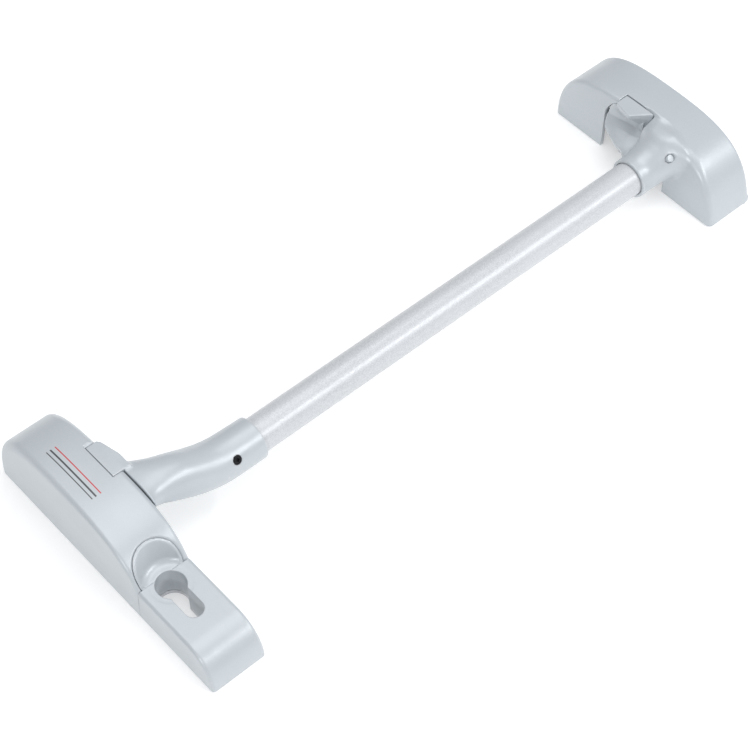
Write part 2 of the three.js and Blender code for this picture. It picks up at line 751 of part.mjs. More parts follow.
function tongue() {
  const capRoom = box([HEAD_IN, TONGUE_IN], TONGUE_Y, [TONGUE_CAP_FOOT, ARCH_TOP + PAST]);
  const cap = archBody([HEAD_IN, HEAD_OUT], HEAD_Y).intersect(capRoom);
  const web = prismY(polygon(WEB_XZ), [TONGUE_Y[0], FAR]).intersect(prismX(polygon(WEB_YZ), [0, FAR]));
  const post = box(TONGUE_POST_X, TONGUE_POST_Y, [TONGUE_FOOT_Z[0], TONGUE_CAP_FOOT + PAST]);
  const foot = box(TONGUE_FOOT_X, TONGUE_POST_Y, TONGUE_FOOT_Z);
  let made = cap.add(web).add(post).add(foot);
  for (const [x, y] of TONGUE_FIXINGS) made = made.subtract(screwHole(x, y, TONGUE_FOOT_Z[1], 0));
  return made;
}

// ---- assembly ----
const bar = new THREE.Group();

function addPart(name, made, material) {
  const { vertProperties, triVerts, numProp } = made.getMesh();
  const count = vertProperties.length / numProp;
  const positions = new Float32Array(count * 3);
  for (let i = 0; i < count; i++) {
    positions.set(vertProperties.subarray(i * numProp, i * numProp + 3), i * 3);
  }
  const geometry = new THREE.BufferGeometry();
  geometry.setAttribute("position", new THREE.BufferAttribute(positions, 3));
  geometry.setIndex(new THREE.BufferAttribute(triVerts, 1));
  geometry.computeVertexNormals();
  const mesh = new THREE.Mesh(geometry, material);
  mesh.name = name;
  bar.add(mesh);
}

addPart("lock_cover", lockCover(), CASTING());
addPart("cylinder_block", cylinderBlock(), CASTING());
addPart("lock_base_plate", lockPlate(), STEEL());
COVER_SCREWS.forEach(([x, y], i) => {
  addPart(`cover_screw_${i + 1}`, countersunk(x, y, HEAD_SINK, COVER_SCREW_TIP), STEEL());
});
BLOCK_SCREWS.forEach(([x, y], i) => {
  addPart(`block_screw_${i + 1}`, countersunk(x, y, HEAD_SINK, BLOCK_SCREW_TIP, SMALL_SCREW_R), STEEL());
});
LOCK_FIXINGS.forEach(([x, y], i) => {
  addPart(`lock_fixing_screw_${i + 1}`, countersunk(x, y, PLATE - HEAD_SINK, 0), STEEL());
});
addPart("locking_slide", slideBlade(), STEEL());
addPart("slide_channel", slideChannel(), STEEL());
addPart("slide_strap", slideStrap(), STEEL());
STRAP_SCREWS.forEach(([x, y], i) => {
  addPart(`strap_screw_${i + 1}`, strapScrew(x, y), STEEL());
});
addPart("tail_buffer", tailBuffer(), RUBBER());
addPart("detent_spring", detentSpring(), STEEL());

addPart("lock_arm", lockArm(), CASTING());
addPart("arm_grub_screw", armGrubScrew(), BLACK());
addPart("bar_tube", tube(), SILVER());
addPart("inner_core", rodX(CORE_R, CORE_X, TUBE_Y, TUBE_Z, 24), STEEL());
PLUG_X.forEach((x, i) => {
  const plug = rodX(TUBE_R - TUBE_WALL - GAP, [x, x + PLUG_LENGTH], TUBE_Y, TUBE_Z, 24);
  addPart(`tube_plug_${i + 1}`, plug, RUBBER());
});
addPart("swing_head", swingHead(), CASTING());
addPart("head_cross_pin", headCrossPin(), CASTING());

addPart("head_base_plate", headPlate(), STEEL());
addPart("head_hinge_pin", rodY(PIN_R, PIN_X, PIN_Y, PIN_Z, 20), STEEL());
addPart("head_tongue", tongue(), CASTING());
HEAD_FIXINGS.forEach(([x, y], i) => {
  addPart(`head_fixing_screw_${i + 1}`, countersunk(x, y, PLATE - HEAD_SINK, 0), STEEL());
});
TONGUE_FIXINGS.forEach(([x, y], i) => {
  addPart(`tongue_screw_${i + 1}`, countersunk(x, y, TONGUE_FOOT_Z[1] - HEAD_SINK, 0), STEEL());
});

export default bar;
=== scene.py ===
"""Looks of the door security bar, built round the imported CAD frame.

The five castings, the grub screw, the neck's pin and the tube are remade as smooth skins. All but the tube
are distance fields in millimetres, built from the same dimensions as the CAD, with the cast fillets and
softened edges that flat facets can't show. A field's zero level is meshed, and every vertex is then pulled
onto it. The other pieces keep their CAD mesh and get a material.
"""

import json
import math

import bpy
import numpy as np
from mathutils import Matrix, Vector


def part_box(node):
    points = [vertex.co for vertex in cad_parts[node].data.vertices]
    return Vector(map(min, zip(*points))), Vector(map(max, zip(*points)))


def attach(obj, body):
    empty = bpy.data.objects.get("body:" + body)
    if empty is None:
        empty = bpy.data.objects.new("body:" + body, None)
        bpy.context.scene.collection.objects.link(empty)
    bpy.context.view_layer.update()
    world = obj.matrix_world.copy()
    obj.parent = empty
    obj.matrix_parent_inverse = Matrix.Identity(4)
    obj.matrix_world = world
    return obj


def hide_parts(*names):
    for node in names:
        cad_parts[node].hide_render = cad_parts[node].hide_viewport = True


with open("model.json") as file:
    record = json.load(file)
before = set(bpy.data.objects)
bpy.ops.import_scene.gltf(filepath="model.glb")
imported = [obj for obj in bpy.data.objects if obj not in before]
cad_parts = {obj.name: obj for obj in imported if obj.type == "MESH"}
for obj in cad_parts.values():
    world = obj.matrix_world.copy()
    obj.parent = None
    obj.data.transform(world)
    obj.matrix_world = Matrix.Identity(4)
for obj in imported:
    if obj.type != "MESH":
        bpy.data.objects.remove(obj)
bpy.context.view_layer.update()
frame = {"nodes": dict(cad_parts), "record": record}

MM = 0.001
STEP = 0.55  # mm between the samples of a casting's field
MARGIN = 2  # mm that the sampled box reaches past the CAD node

# ---- dimensions in millimetres, as in the CAD ----
GAP = 0.3  # clearance between neighbours
BELOW = -9  # a level below the door, where downward cuts begin
BAR_HALF = 237.0
WIDTH = 36.0  # of either housing, along the bar
WALL = 3.0
PLATE = 3.0  # thickness of a base plate
ARCH_HALF = 68.25
ARCH_TOP = 47.4
DRAFT = 0.8  # how far a long wall leans in over the height of the arch
LOCK_OUT, LOCK_IN = -BAR_HALF, -BAR_HALF + WIDTH
HEAD_IN, HEAD_OUT = BAR_HALF - WIDTH, BAR_HALF
LOCK_HALF = 96.5
COVER_Y = LOCK_HALF - ARCH_HALF
HEAD_Y = 24.0
TUBE_R, TUBE_WALL, BORE_R, SOCKET_R = 11.0, 2.0, 11.3, 13.3
TUBE_Y, TUBE_Z = 5.6, 22.5
ARM_MOUTH, ARM_BORE_END = -124.5, -158.0
HEAD_MOUTH, HEAD_BORE_END = 176.5, 202.5
BLOCK_END, BLOCK_TOP, BLOCK_NOSE = -33.8, 23.0, 21.0
SLIDE_ROOM_Y, SLIDE_ROOM_TOP = -29.2, 21.6  # what the dish's rim leaves free for the slide
KEY_X, KEY_Y, KEY_R, KEY_SLOT, KEY_TOTAL = -219.6, -40.7, 8.8, 5.5, 34.0
DISH_R, DISH_FLARE = 16.0, 0.38
DISH_RIM, DISH_ROOT = 1.3, 10.0  # thickness of the block's thin wall round the dish, and how deep it goes
CLAW_Y, CLAW_IN, CLAW_FLOOR = (20.8, 46.1), -208.8, 39
NOTCH_FLOOR = 16  # level of the floor of the cover's notch
CHAMFER, CHAMFER_START = 1.5, 30  # on the notch's inner corner
TAIL_OUT, TAIL_Z = -205.6, (9, 42)  # the claw's tail, down inside the cover
TAIL_SLOT_END, TAIL_SLOT_Z = 38, (15.7, 21.3)
TONGUE_Y = (18.7, 41.9)
TONGUE_IN = 209.8
TONGUE_POST_X, TONGUE_POST_Y, TONGUE_POST_TOP = 204.5, (22, 38), 40
TONGUE_FOOT_X, TONGUE_FOOT_Z = 219, (3.3, 6.3)
TONGUE_SCREW_X, TONGUE_SCREW_Y = 214, (25, 35)
PIN_X, PIN_Z, KNUCKLE_R = 233.5, 3.5, 3.5
PIN_BORE_R, PIN_BORE_Y = 1.9, (-28.3, 76.3)
PLATE_KNUCKLES = ((-10, 8), (40, 58))  # along Y, on the base plate
HEAD_RIM = 0.4  # height of the head's rim above the door


# ---- distance fields: negative inside ----
def both(a, b, r=0.0):
    """Where both hold, with the edge between them rounded to radius r."""
    if np.isscalar(r) and r == 0:
        return np.maximum(a, b)
    corner = np.hypot(np.maximum(a + r, 0), np.maximum(b + r, 0))
    return np.minimum(np.maximum(a, b), -r) + corner


def either(a, b, r=0.0):
    """Where either holds, with a fillet of radius r between them."""
    return -both(-a, -b, r)


def cut(a, b, r=0.0):
    """a without b."""
    return both(a, -b, r)


def blend(a, b, k):
    """Where either holds, flowing together over a distance k."""
    h = np.maximum(k - np.abs(a - b), 0) / k
    return np.minimum(a, b) - h * h * k / 4


def block(x, y, z, low, high, r=0.4):
    """A box with rounded edges."""
    away, deep = 0.0, -1e9
    for value, a, b in zip((x, y, z), low, high):
        q = np.abs(value - (a + b) / 2) - (b - a) / 2 + r
        away = away + np.maximum(q, 0) ** 2
        deep = np.maximum(deep, q)
    return np.sqrt(away) - r + np.minimum(deep, 0)


def slab(value, low, high):
    return np.maximum(low - value, value - high)


def ball(x, y, z, centre, radius):
    return np.sqrt((x - centre[0]) ** 2 + (y - centre[1]) ** 2 + (z - centre[2]) ** 2) - radius


def bezier(a, b, c, d, count):
    """Points along a cubic curve."""
    t = np.linspace(0, 1, count)[:, None]
    a, b, c, d = map(np.array, (a, b, c, d))
    return a * (1 - t) ** 3 + 3 * b * t * (1 - t) ** 2 + 3 * c * t**2 * (1 - t) + d * t**3


class Outline:
    """Signed distance to a closed outline, read from a fine table."""

    def __init__(self, points, margin=14.0, step=0.3):
        self.step = step
        self.low = points.min(0) - margin
        size = np.ceil((points.max(0) + margin - self.low) / step).astype(int) + 1
        u = self.low[0] + step * np.arange(size[0])[:, None]
        v = self.low[1] + step * np.arange(size[1])[None, :]
        nearest = np.full(size, 1e9)
        inside = np.zeros(size, bool)
        for (au, av), (bu, bv) in zip(points, np.roll(points, -1, axis=0)):
            du, dv = bu - au, bv - av
            t = np.clip(((u - au) * du + (v - av) * dv) / max(du * du + dv * dv, 1e-12), 0, 1)
            nearest = np.minimum(nearest, (u - au - t * du) ** 2 + (v - av - t * dv) ** 2)
            if dv != 0:
                crosses = ((av > v) != (bv > v)) & (u < au + (v - av) * du / dv)
                inside ^= crosses
        self.table = np.where(inside, -1, 1) * np.sqrt(nearest)

    def __call__(self, u, v):
        size = self.table.shape
        i = np.clip((u - self.low[0]) / self.step, 0, size[0] - 1.001)
        j = np.clip((v - self.low[1]) / self.step, 0, size[1] - 1.001)
        i, j = np.broadcast_arrays(i, j)
        a, b = i.astype(int), j.astype(int)
        s, t = i - a, j - b
        low = self.table[a, b] * (1 - s) + self.table[a + 1, b] * s
        high = self.table[a, b + 1] * (1 - s) + self.table[a + 1, b + 1] * s
        return low * (1 - t) + high * t


def arch_outline(middle):
    """Side view of an arched casting: square-shouldered at its rear end, a long round slope in front."""
    h, t, foot = ARCH_HALF, ARCH_TOP, -12.0
    front = bezier((-h, 0), (-h + 5.6, 0.91 * t), (-0.52 * h, t), (0, t), 60)
    rear = bezier((0, t), (0.5 * h, t), (h + 2.3, 0.99 * t), (h, 0), 60)[1:]
    points = np.vstack([[(-h, foot)], front, rear, [(h, foot)]])
    return Outline(points + (middle, 0))


def arched(x, y, z, outline, walls, soft, inset=0.0):
    """The arched body between two long walls that lean in. soft is the radius between top and walls."""
    lean = DRAFT * z / ARCH_TOP
    side = np.maximum(walls[0] + lean - x, x - walls[1] + lean) + inset
    return both(outline(y, z) + inset, side, soft)


def spline(rows, x):
    """Each column of rows, against the first column, on a smooth curve."""
    rows = np.array(rows, float)
    ends = np.vstack([2 * rows[0] - rows[1], rows, 2 * rows[-1] - rows[-2]])
    t = np.linspace(0, 1, 12, endpoint=False)[:, None]
    parts = []
    for a, b, c, d in zip(ends, ends[1:], ends[2:], ends[3:]):
        square, cube = 2 * a - 5 * b + 4 * c - d, 3 * b - a - 3 * c + d
        parts.append(0.5 * (2 * b + (c - a) * t + square * t**2 + cube * t**3))
    fine = np.vstack(parts + [rows[-1:]])
    return [np.interp(x, fine[:, 0], column) for column in fine.T[1:]]


def loft(x, y, z, rows, n=2.0):
    """Upright oval sections along X: rows of x, -Y side, +Y side, widest level, top, bottom.

    n is 2 for ellipses, and more for sections with fuller corners."""
    left, right, level, top, bottom = spline(rows, x)
    wide = (right - left) / 2
    height = np.where(z > level, top - level, level - bottom)
    u = np.abs(y - (left + right) / 2) / wide
    v = np.abs(z - level) / height
    q = (u**n + v**n) ** (1 / n)
    slope = np.hypot(u ** (n - 1) / wide, v ** (n - 1) / height)
    return (q - 1) * q ** (n - 1) / np.maximum(slope, 1e-4)


def bar_bore(x, y, z, ends):
    """The bore that takes the tube's end."""
    return both(np.hypot(y - TUBE_Y, z - TUBE_Z) - BORE_R, slab(x, *ends))


def leaning_hole(x, y, z, at, tilt, radius, start):
    """A round hole that points at the tube's axis, leaning from the vertical towards -Y."""
    c, s = math.cos(math.radians(tilt)), math.sin(math.radians(tilt))
    along = (z - TUBE_Z) * c - (y - TUBE_Y) * s
    across = (z - TUBE_Z) * s + (y - TUBE_Y) * c
    return both(np.hypot(x - at, across) - radius, start - along)


COVER_ARCH = arch_outline(COVER_Y)
HEAD_ARCH = arch_outline(HEAD_Y)


def cover_edge(y):
    """The cover's long edges are softer towards its high end."""
    return 2.6 + 2.2 * np.clip((y + 10) / 90, 0, 1)


def dish(x, y, z):
    """The upright cone whose wall the cover and the block share round the cylinder hole."""
    radius = DISH_R + DISH_FLARE * (z - BLOCK_TOP)
    return (np.hypot(x - KEY_X, y - KEY_Y) - radius) / math.hypot(1, DISH_FLARE)


def lock_cover(x, y, z):
    walls = (LOCK_OUT, LOCK_IN)
    outer = arched(x, y, z, COVER_ARCH, walls, cover_edge(y))
    inner = arched(x, y, z, COVER_ARCH, walls, 2.0, WALL)
    body = cut(outer, inner)
    front = BLOCK_END + GAP
    body = both(body, front - y, 0.2)
    body = cut(body, dish(x, y, z) - GAP, 0.3)
    notch_low = (CLAW_IN - GAP, CLAW_Y[0] - GAP, NOTCH_FLOOR)
    notch_high = (LOCK_IN + 20, CLAW_Y[1] + GAP, 80)
    body = cut(body, block(x, y, z, notch_low, notch_high, 0.3), 0.25)
    chamfer_end = CLAW_Y[1] + GAP + CHAMFER
    chamfer = both(CLAW_IN - GAP - x, slab(y, CHAMFER_START, chamfer_end))
    chamfer = both(chamfer, y - chamfer_end - COVER_ARCH(y, z))
    body = cut(body, chamfer, 0.2)
    return both(body, -z, 0.3)


def keyhole(x, y):
    """Outline of the cylinder hole: a round with a narrower slot below it."""
    end = KEY_Y + KEY_R - KEY_TOTAL + KEY_SLOT
    low = np.hypot(x - KEY_X, y - np.clip(y, end, KEY_Y)) - KEY_SLOT
    return either(np.hypot(x - KEY_X, y - KEY_Y) - KEY_R, low, 0.5)


BLOCK_SIDE = Outline(
    np.vstack(
        [
            [(BLOCK_END + 60, -12), (BLOCK_END + 60, BLOCK_TOP)],
            [
                (-LOCK_HALF + BLOCK_NOSE * (1 - math.sin(a)), BLOCK_TOP * math.cos(a))
                for a in np.linspace(0, math.pi / 2, 40)
            ],
            [(-LOCK_HALF, -12)],
        ]
    )
)


def cylinder_block(x, y, z):
    lean = DRAFT * z / ARCH_TOP
    side = np.maximum(LOCK_OUT + lean - x, x - LOCK_IN + lean)
    body = both(BLOCK_SIDE(y, z), side, 2.2)
    body = both(body, y - BLOCK_END - 0.15, 0.2)
    rim = both(dish(x, y, z), arched(x, y, z, COVER_ARCH, (LOCK_OUT, LOCK_IN), cover_edge(y)), 0.4)
    rim = both(rim, np.maximum(BLOCK_TOP - DISH_ROOT - z, BLOCK_END - 0.5 - y))
    collar = both(np.hypot(x - KEY_X, y - KEY_Y) - KEY_R - WALL, slab(z, PLATE + GAP, BLOCK_TOP - 1))
    body = np.minimum(np.minimum(body, rim), collar)
    cove = both(dish(x, y, z) + DISH_RIM, BLOCK_TOP - z, 3.2)
    body = cut(body, cove, 0.3)
    seat_low = (LOCK_OUT + WALL, -LOCK_HALF + WALL, BELOW)
    body = cut(body, block(x, y, z, seat_low, (LOCK_IN - WALL, 60, PLATE + GAP), 0.2))
    body = cut(body, block(x, y, z, (-400, SLIDE_ROOM_Y, BELOW), (0, 60, SLIDE_ROOM_TOP), 0.2))
    return both(cut(body, keyhole(x, y), 0.45), -z, 0.3)


ARM_ROOT = LOCK_IN - GAP
ARM_ROWS = [
    (ARM_ROOT, -6, 33, 41.2, 46.3, 35),
    (-197.5, -4.4, 30.4, 38, 46.3, 31),
    (-193, -3.5, 28, 35.4, 46.3, 27.2),
    (-185, -4.1, 25, 31.7, 45.9, 22),
    (-175, -5.4, 23, 28.4, 44.2, 16.2),
    (-165, -6.8, 21.6, 25.6, 40.8, 12.4),
    (-155, -7.5, 20.4, 23.7, 37.6, 10.1),
    (-145, -7.8, 19.6, 22.7, 36.3, 9.3),
    (ARM_MOUTH, TUBE_Y - SOCKET_R, TUBE_Y + SOCKET_R, TUBE_Z, TUBE_Z + SOCKET_R, TUBE_Z - SOCKET_R),
]
GRUB_X, GRUB_TILT, GRUB_R, GRUB_TOP = -144.6, 54.5, 2.7, 13.5


def lock_arm(x, y, z):
    """Socket, curved arm that grows fuller towards its root, claw with a skewed end, and tail."""
    fullness = 2.0 + 0.35 * np.clip((-165 - x) / 30, 0, 1)
    body = both(loft(x, y, z, ARM_ROWS, fullness), slab(x, ARM_ROOT, ARM_MOUTH), 0.8)
    edge = np.interp(y, (CLAW_Y[0], 31, 43.8, CLAW_Y[1]), (-196.9, -196.9, -199.8, -201.5))
    claw = both(slab(y, *CLAW_Y), np.maximum(CLAW_IN - x, x - edge), 0.5)
    claw = both(claw, COVER_ARCH(y, z) + 0.25, 0.5)
    claw = both(claw, CLAW_FLOOR - z, 0.5)
    body = blend(body, claw, 2.5)
    outside = either(both(slab(y, *CLAW_Y), CLAW_IN - x), ARM_ROOT - x)
    body = both(body, outside, 0.2)
    tail_low, tail_high = (CLAW_IN, CLAW_Y[0] + 2, TAIL_Z[0]), (TAIL_OUT, CLAW_Y[1] - 2, TAIL_Z[1])
    slot_low, slot_high = (-300, -100, TAIL_SLOT_Z[0]), (0, TAIL_SLOT_END, TAIL_SLOT_Z[1])
    tail = cut(block(x, y, z, tail_low, tail_high, 0.3), block(x, y, z, slot_low, slot_high, 0.3), 0.2)
    body = np.minimum(body, tail)
    body = cut(body, bar_bore(x, y, z, (ARM_BORE_END, 0)), 0.4)
    body = cut(body, leaning_hole(x, y, z, GRUB_X, GRUB_TILT, GRUB_R + 0.12, 0), 0.25)
    return body


NECK_END = HEAD_IN + WALL + 0.5
NECK_ROWS = [
    (HEAD_MOUTH, TUBE_Y - SOCKET_R, TUBE_Y + SOCKET_R, TUBE_Z, TUBE_Z + SOCKET_R, TUBE_Z - SOCKET_R),
    (183, -7.8, 18.7, 22.8, 36.4, 9.3),
    (189, -9, 18.4, 25, 39, 10.5),
    (195, -11.5, 18.4, 28.5, 42.6, 13),
    (200, -14.5, 18.4, 32, 44.6, 16),
    (NECK_END, -17.5, 18.4, 35, 45.2, 19),
]
# Side view of the head's notch: the tongue's shoulders above, a way down to the door below.
OPENING = Outline(
    np.array(
        [
            (TONGUE_Y[0] - GAP, -20),
            (51.4, -20),
            (51.4, 29),
            (50.9, 32.5),
            (49.8, 35.6),
            (48.2, 38.6),
            (46.2, 41.2),
            (TONGUE_Y[1] + GAP, 44.6),
            (TONGUE_Y[1] + GAP, 70),
            (TONGUE_Y[0] - GAP, 70),
        ]
    )
)
CROSS_PIN_X, CROSS_PIN_TILT, CROSS_PIN_R, CROSS_PIN_TOP = 196.7, 42.0, 2.4, 22.1
WIDE_SCOOP = ((197, 8, 73), 30)  # two hollows beside the neck, each a centre and a radius
DEEP_SCOOP = ((199, 22, 54), 14)
TONGUE_ROOM_X = 185  # where the way for the tongue begins, in front of the head


def head_edge(x, y):
    """The head's front edge is softer than its rear edge, most of all beside the neck."""
    front = 3.2 + 4.3 * np.exp(-(((y + 19) / 15) ** 2))
    return np.where(x < (HEAD_IN + HEAD_OUT) / 2, front, 2.2)


def swing_head(x, y, z):
    """Arched shell with a neck, a notch for the tongue and a hinge barrel along its rear foot."""
    walls = (HEAD_IN, HEAD_OUT)
    outer = arched(x, y, z, HEAD_ARCH, walls, head_edge(x, y))
    inner = arched(x, y, z, HEAD_ARCH, walls, 2.0, WALL)
    scoop = blend(ball(x, y, z, *WIDE_SCOOP), ball(x, y, z, *DEEP_SCOOP), 3)
    outer = cut(outer, scoop, 0.3)
    inner = cut(inner, scoop - WALL, 1.0)
    neck = both(loft(x, y, z, NECK_ROWS), slab(x, HEAD_MOUTH, NECK_END), 0.8)
    fillet = 3.0 + 5.0 * np.clip((y + 16) / 14, 0, 1)
    body = either(cut(outer, inner), neck, fillet)
    body = cut(body, both(inner, NECK_END - x))
    opening = both(OPENING(y, z), x - TONGUE_IN - GAP, 0.3)
    body = cut(body, both(opening, np.where(x > TONGUE_ROOM_X, -1.0, TONGUE_ROOM_X - x)), 0.3)
    body = cut(body, block(x, y, z, (100, -2.4, BELOW), (TONGUE_IN + GAP, 30, 9), 0.4), 0.3)
    body = cut(body, bar_bore(x, y, z, (0, HEAD_BORE_END)), 0.4)
    body = cut(body, leaning_hole(x, y, z, CROSS_PIN_X, CROSS_PIN_TILT, CROSS_PIN_R + 0.12, 12), 0.5)
    foot = np.maximum(PIN_X - x, z - PIN_Z)
    body = both(body, np.maximum(HEAD_RIM - z, -foot))
    barrel = np.hypot(x - PIN_X, z - PIN_Z)
    body = np.minimum(body, both(barrel - KNUCKLE_R, HEAD_ARCH(y, z)))
    for low, high in PLATE_KNUCKLES:
        room = (PIN_X - 6, low - GAP, BELOW), (300, high + GAP, PIN_Z + KNUCKLE_R + GAP)
        body = cut(body, block(x, y, z, *room, 0.2))
    return cut(body, both(barrel - PIN_BORE_R, slab(y, *PIN_BORE_Y)))


def tongue_face(y, z):
    """X of the tongue's front face: a ledge that narrows to the neck, a hollow below it, then a long lip."""
    levels = (18, 21, 24, 26.5, 29, 33, 37, 41, 44, 48)
    inner = np.interp(z, levels, (192, 186.5, 187.5, 197, 203.5, 207, 207, 208, 209.4, 209.4))
    middle = np.interp(z, levels, (196, 191, 190.5, 195, 200, 204, 204, 200.5, 197.2, 197))
    outer = np.interp(z, levels, (202, 197, 195.5, 196, 198, 201, 201.5, 201, 200.3, 200.3))
    t = np.clip((y - TONGUE_Y[0]) / (28 - TONGUE_Y[0]), 0, 1)
    u = np.clip((y - 28) / (47 - 28), 0, 1)
    straight = np.clip((z - 39) / 4, 0, 1)
    t = straight * t + (1 - straight) * t * t * (3 - 2 * t)
    u = u * u * (3 - 2 * u)
    return (inner * (1 - t) + middle * t) * (1 - u) + outer * u


def head_tongue(x, y, z):
    face = (tongue_face(y, z) - x) * 0.7
    levels = (18, 20, 22, 24, 27, 32, 37, 40.5, 42.5, 44.5, 48)
    side = np.interp(z, levels, (22, 30, 39, 44.5, 47.5, 48.8, 48.4, 47, 45, 41.9, 41.9))
    under = np.interp(y, (18.7, 24, 30, 38, 45, 49), (20.5, 19.5, 20, 21.5, 24.5, 30))
    body = both(face, np.maximum(x - TONGUE_IN + 0.4, TONGUE_Y[0] - y), 0.5)
    body = both(body, (y - side) * 0.8, 1.0)
    body = both(body, under - z, 0.8)
    body = both(body, arched(x, y, z, HEAD_ARCH, (HEAD_IN - 30, HEAD_OUT), 3.0) + 0.15, 0.6)
    low = (TONGUE_POST_X, TONGUE_POST_Y[0], TONGUE_FOOT_Z[0])
    post = block(x, y, z, low, (TONGUE_IN - 0.4, TONGUE_POST_Y[1], TONGUE_POST_TOP), 0.4)
    foot = block(x, y, z, low, (TONGUE_FOOT_X, TONGUE_POST_Y[1], TONGUE_FOOT_Z[1]), 0.4)
    body = np.minimum(body, either(post, foot, 1.0))
    for at in TONGUE_SCREW_Y:
        away = np.hypot(x - TONGUE_SCREW_X, y - at)
        countersink = away - 4.3 + np.maximum(TONGUE_FOOT_Z[1] - z, 0)
        body = cut(body, both(np.minimum(away - 2.3, countersink), z - 7))
    return body


def leaning(x, y, z, at, tilt):
    """Coordinates along and across an axis that leans from the vertical towards -Y."""
    c, s = math.cos(math.radians(tilt)), math.sin(math.radians(tilt))
    along = (z - TUBE_Z) * c - (y - TUBE_Y) * s
    return along, x - at, (z - TUBE_Z) * s + (y - TUBE_Y) * c


def grub_screw(x, y, z):
    along, u, v = leaning(x, y, z, GRUB_X, GRUB_TILT)
    round_off = np.hypot(u, v)
    body = both(round_off - GRUB_R, slab(along, TUBE_R + GAP, GRUB_TOP), 0.35)
    hexagon = np.maximum(np.abs(u), np.abs(u) / 2 + np.abs(v) * math.sqrt(0.75)) - 1.15
    return cut(body, both(hexagon, GRUB_TOP - 1.3 - along), 0.1)


def cross_pin(x, y, z):
    along, u, v = leaning(x, y, z, CROSS_PIN_X, CROSS_PIN_TILT)
    round_off = np.hypot(u, v)
    dome = along - CROSS_PIN_TOP + 0.02 * round_off**2
    return both(both(round_off - CROSS_PIN_R, dome, 0.3), TUBE_R + GAP - along, 0.2)


# ---- from a field to a mesh ----
def surface(field, low, high, step):
    """Vertices and quads on the field's zero level, one vertex in each grid cell that the surface crosses."""
    origin = np.array(low, float) - 2 * step
    size = np.ceil((np.array(high, float) + 2 * step - origin) / step).astype(int) + 1
    axes = [origin[a] + step * np.arange(size[a]) for a in range(3)]
    grid = np.meshgrid(*axes, indexing="ij", sparse=True)
    value = np.broadcast_to(field(*grid), size).astype(np.float32)
    inside = value < 0
    corners = [(i, j, k) for i in (0, 1) for j in (0, 1) for k in (0, 1)]
    count = np.zeros(size - 1, np.int8)
    for i, j, k in corners:
        count += inside[i : size[0] - 1 + i, j : size[1] - 1 + j, k : size[2] - 1 + k]
    mixed = (count > 0) & (count < 8)
    cells = np.argwhere(mixed)
    index = np.full(mixed.shape, -1)
    index[mixed] = np.arange(len(cells))
    total, hits = np.zeros((len(cells), 3)), np.zeros(len(cells))
    for axis in range(3):
        for start in corners:
            if start[axis]:
                continue
            a = cells + start
            b = a.copy()
            b[:, axis] += 1
            fa, fb = value[tuple(a.T)], value[tuple(b.T)]
            crosses = (fa < 0) != (fb < 0)
            point = a[crosses].astype(float)
            point[:, axis] += fa[crosses] / (fa[crosses] - fb[crosses])
            total[crosses] += point
            hits[crosses] += 1
    vertices = origin + step * total / hits[:, None]
    quads = []
    for axis in range(3):
        u, v = (axis + 1) % 3, (axis + 2) % 3
        shift = [np.eye(3, dtype=int)[a] for a in range(3)]
        first = [slice(None)] * 3
        second = [slice(None)] * 3
        first[axis], second[axis] = slice(0, -1), slice(1, None)
        before, after = inside[tuple(first)], inside[tuple(second)]
        nodes = np.argwhere(before != after)
        ring = [nodes - shift[u] - shift[v], nodes - shift[v], nodes, nodes - shift[u]]
        quad = np.stack([index[tuple(r.T)] for r in ring], axis=1)
        turned = ~before[tuple(nodes.T)]
        quad[turned] = quad[turned][:, ::-1]
        quads.append(quad)
    return vertices, np.vstack(quads)


def gradient(field, points, h=0.12):
    """Slope of the field at each point, from samples h apart on either side."""
    parts = []
    for axis in range(3):
        ahead, behind = points.copy(), points.copy()
        ahead[:, axis] += h
        behind[:, axis] -= h
        parts.append((field(*ahead.T) - field(*behind.T)) / (2 * h))
    return np.stack(parts, axis=1)


def cast_piece(name, field, low, high, step):
    """A smooth object on the field's zero level, shaded by the field's own slope."""
    vertices, quads = surface(field, low, high, step)
    for _ in range(3):
        slope = gradient(field, vertices)
        length = np.maximum((slope**2).sum(1), 0.05)
        move = slope * (field(*vertices.T) / length)[:, None]
        far = np.linalg.norm(move, axis=1)
        vertices -= move * np.minimum(1, 0.4 * step / np.maximum(far, 1e-9))[:, None]
    mesh = bpy.data.meshes.new(name)
    mesh.vertices.add(len(vertices))
    mesh.vertices.foreach_set("co", (vertices * MM).astype(np.float32).ravel())
    mesh.loops.add(quads.size)
    mesh.loops.foreach_set("vertex_index", quads.astype(np.int32).ravel())
    mesh.polygons.add(len(quads))
    mesh.polygons.foreach_set("loop_start", np.arange(0, quads.size, 4, dtype=np.int32))
    mesh.update(calc_edges=True)
    mesh.validate()
    mesh.polygons.foreach_set("use_smooth", np.ones(len(mesh.polygons), bool))
    normals = gradient(field, vertices, 0.25)
    normals /= np.maximum(np.linalg.norm(normals, axis=1), 1e-9)[:, None]
    mesh.normals_split_custom_set_from_vertices(normals.astype(np.float32))
    piece = bpy.data.objects.new(name, mesh)
    bpy.context.scene.collection.objects.link(piece)
    return piece


